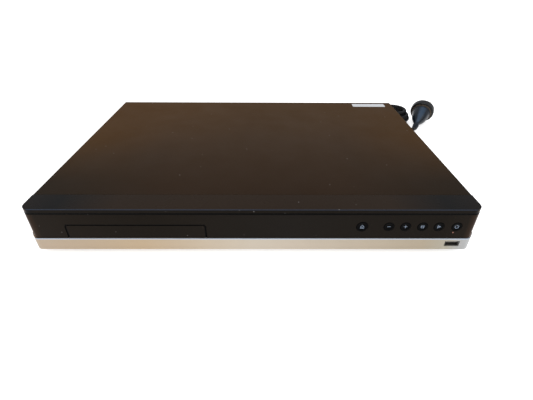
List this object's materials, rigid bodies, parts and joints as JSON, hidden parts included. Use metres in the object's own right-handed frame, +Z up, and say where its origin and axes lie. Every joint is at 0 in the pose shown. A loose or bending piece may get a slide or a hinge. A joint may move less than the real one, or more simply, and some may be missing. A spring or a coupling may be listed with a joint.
{
  "type": "blu-ray player",
  "caption": "Low black home-cinema disc player with a silver lower bezel, drawer door, dished round front buttons and a wound mains cord.",
  "frame": {"origin": "on the floor, under the middle of the cabinet's footprint", "axes": "+X to the right as seen from the front, +Y to the back, +Z up"},
  "size_m": [0.5359, 0.3918, 0.0551],
  "materials": {
    "cover_paint": "fine satin black-brown paint",
    "zinc_sheet": "zinc-plated sheet",
    "rear_paint": "matt black paint",
    "cap_gloss": "gloss black",
    "panel_gloss": "smoked gloss black",
    "silver_paint": "warm silver paint",
    "black_plastic": "moulded black",
    "button_gloss": "gloss black, dished",
    "foot_rubber": "matt",
    "screw_black": "blackened steel",
    "label_white": "blank printed film",
    "light_red": "clear red light guide",
    "tray_plastic": "moulded black",
    "bright_steel": "ground steel",
    "gear_plastic": "natural acetal",
    "belt_rubber": "matt",
    "lens_glass": "coated",
    "die_cast": "die cast",
    "board_green": "solder mask",
    "display_glass": "dark filter",
    "socket_metal": "nickel plate",
    "socket_plastic": "moulded black",
    "can_aluminium": "sleeved can",
    "coil_tape": "taped winding",
    "wire_grey": "flat cable",
    "cord_black": "soft satin sheath",
    "plug_black": "moulded satin black",
    "pin_brass": "plated"
  },
  "bodies": {
    "cabinet": {"top_cover": "cover_paint", "bottom_chassis": "zinc_sheet", "rear_panel": "rear_paint", "front_frame": "black_plastic", "front_top_cap": "cap_gloss", "fascia_panel": "panel_gloss", "silver_bezel": "silver_paint", "feet": "foot_rubber", "cover_screws": "screw_black", "label_sticker": "label_white", "standby_light": "light_red", "drive_frame": "black_plastic", "drive_bridge": "zinc_sheet", "loading_motor": "bright_steel", "loading_belt": "belt_rubber", "front_board": "board_green", "display_module": "display_glass", "usb_socket": "socket_metal", "fan_frame": "socket_plastic", "hdmi_socket": "socket_metal", "lan_socket": "socket_metal", "rca_sockets": "socket_metal", "antenna_socket": "socket_metal", "speaker_terminals": "socket_plastic", "ac_inlet": "socket_plastic", "main_board": "board_green", "power_board": "board_green", "transformer": "coil_tape", "capacitors": "can_aluminium", "heat_sink": "die_cast", "inner_cables": "wire_grey", "cord_connector": "plug_black", "cord_lead": "cord_black", "cord_hank": "cord_black", "cord_tail": "cord_black", "hank_tie": "cord_black", "plug_body": "plug_black", "plug_pins": "pin_brass"},
    "tray": {"disc_tray": "tray_plastic", "tray_door": "panel_gloss"},
    "traverse": {"traverse_chassis": "black_plastic", "spindle_motor": "bright_steel", "guide_rods": "bright_steel", "feed_motor": "bright_steel"},
    "spindle": {"turntable": "black_plastic"},
    "clamp": {"clamper": "black_plastic"},
    "pickup": {"optical_pickup": "die_cast", "pickup_lens": "lens_glass"},
    "feed": {"feed_screw": "bright_steel"},
    "motor_wheel": {"motor_pulley": "gear_plastic"},
    "belt_wheel": {"pulley_gear": "gear_plastic"},
    "tray_gear": {"drive_gear": "gear_plastic"},
    "cam": {"cam_slider": "gear_plastic"},
    "fan": {"fan_rotor": "socket_plastic"},
    "open_key": {"open_button": "button_gloss"},
    "volume_down_key": {"volume_down_button": "button_gloss"},
    "volume_up_key": {"volume_up_button": "button_gloss"},
    "stop_key": {"stop_button": "button_gloss"},
    "play_key": {"play_button": "button_gloss"},
    "power_key": {"power_button": "button_gloss"}
  },
  "joints": [
    {"name": "tray_slide", "type": "slide", "parent": "cabinet", "child": "tray", "axis": [0, -1, 0], "range_m": [0, 0.138]},
    {"name": "traverse_tilt", "type": "hinge", "parent": "cabinet", "child": "traverse", "pos_m": [-0.11245, 0.035, 0.022], "axis": [1, 0, 0], "range_deg": [0, 2.6]},
    {"name": "spindle_spin", "type": "hinge", "parent": "traverse", "child": "spindle", "pos_m": [-0.11245, -0.087, 0.03], "axis": [0, 0, 1], "continuous": true},
    {"name": "clamper_spin", "type": "hinge", "parent": "cabinet", "child": "clamp", "pos_m": [-0.11245, -0.087, 0.036], "axis": [0, 0, 1], "continuous": true},
    {"name": "pickup_slide", "type": "slide", "parent": "traverse", "child": "pickup", "axis": [0, 1, 0], "range_m": [0, 0.036]},
    {"name": "feed_screw_spin", "type": "hinge", "parent": "traverse", "child": "feed", "pos_m": [-0.08295, -0.047, 0.022], "axis": [0, 1, 0], "range_deg": [0, 4320.1]},
    {"name": "tray_gear_spin", "type": "hinge", "parent": "cabinet", "child": "tray_gear", "pos_m": [-0.15045, -0.126, 0.024], "axis": [0, 0, 1], "range_deg": [0, 988.5]},
    {"name": "belt_wheel_spin", "type": "hinge", "parent": "cabinet", "child": "belt_wheel", "pos_m": [-0.13365, -0.126, 0.024], "axis": [0, 0, 1], "range_deg": [-2471, 0]},
    {"name": "motor_wheel_spin", "type": "hinge", "parent": "cabinet", "child": "motor_wheel", "pos_m": [-0.10565, -0.126, 0.024], "axis": [0, 0, 1], "range_deg": [-7637.4, 0]},
    {"name": "cam_slide", "type": "slide", "parent": "cabinet", "child": "cam", "axis": [1, 0, 0], "range_m": [0, 0.0241]},
    {"name": "fan_spin", "type": "hinge", "parent": "cabinet", "child": "fan", "pos_m": [0.19, 0.136, 0.029], "axis": [0, 1, 0], "continuous": true},
    {"name": "open_press", "type": "slide", "parent": "cabinet", "child": "open_key", "axis": [0, 1, 0], "range_m": [0, 0.0005], "stiffness_N_per_m": 200},
    {"name": "volume_down_press", "type": "slide", "parent": "cabinet", "child": "volume_down_key", "axis": [0, 1, 0], "range_m": [0, 0.0005], "stiffness_N_per_m": 200},
    {"name": "volume_up_press", "type": "slide", "parent": "cabinet", "child": "volume_up_key", "axis": [0, 1, 0], "range_m": [0, 0.0005], "stiffness_N_per_m": 200},
    {"name": "stop_press", "type": "slide", "parent": "cabinet", "child": "stop_key", "axis": [0, 1, 0], "range_m": [0, 0.0005], "stiffness_N_per_m": 200},
    {"name": "play_press", "type": "slide", "parent": "cabinet", "child": "play_key", "axis": [0, 1, 0], "range_m": [0, 0.0005], "stiffness_N_per_m": 200},
    {"name": "power_press", "type": "slide", "parent": "cabinet", "child": "power_key", "axis": [0, 1, 0], "range_m": [0, 0.0005], "stiffness_N_per_m": 200}
  ],
  "couplings": [
    {"joint": "tray_gear_spin", "follows": "tray_slide", "rad_per_m": 125},
    {"joint": "belt_wheel_spin", "follows": "tray_slide", "rad_per_m": -312.5},
    {"joint": "motor_wheel_spin", "follows": "tray_slide", "rad_per_m": -965.91},
    {"joint": "cam_slide", "follows": "traverse_tilt", "m_per_rad": 0.52888},
    {"joint": "clamper_spin", "follows": "spindle_spin", "ratio": 1},
    {"joint": "feed_screw_spin", "follows": "pickup_slide", "rad_per_m": 2094.4}
  ]
}
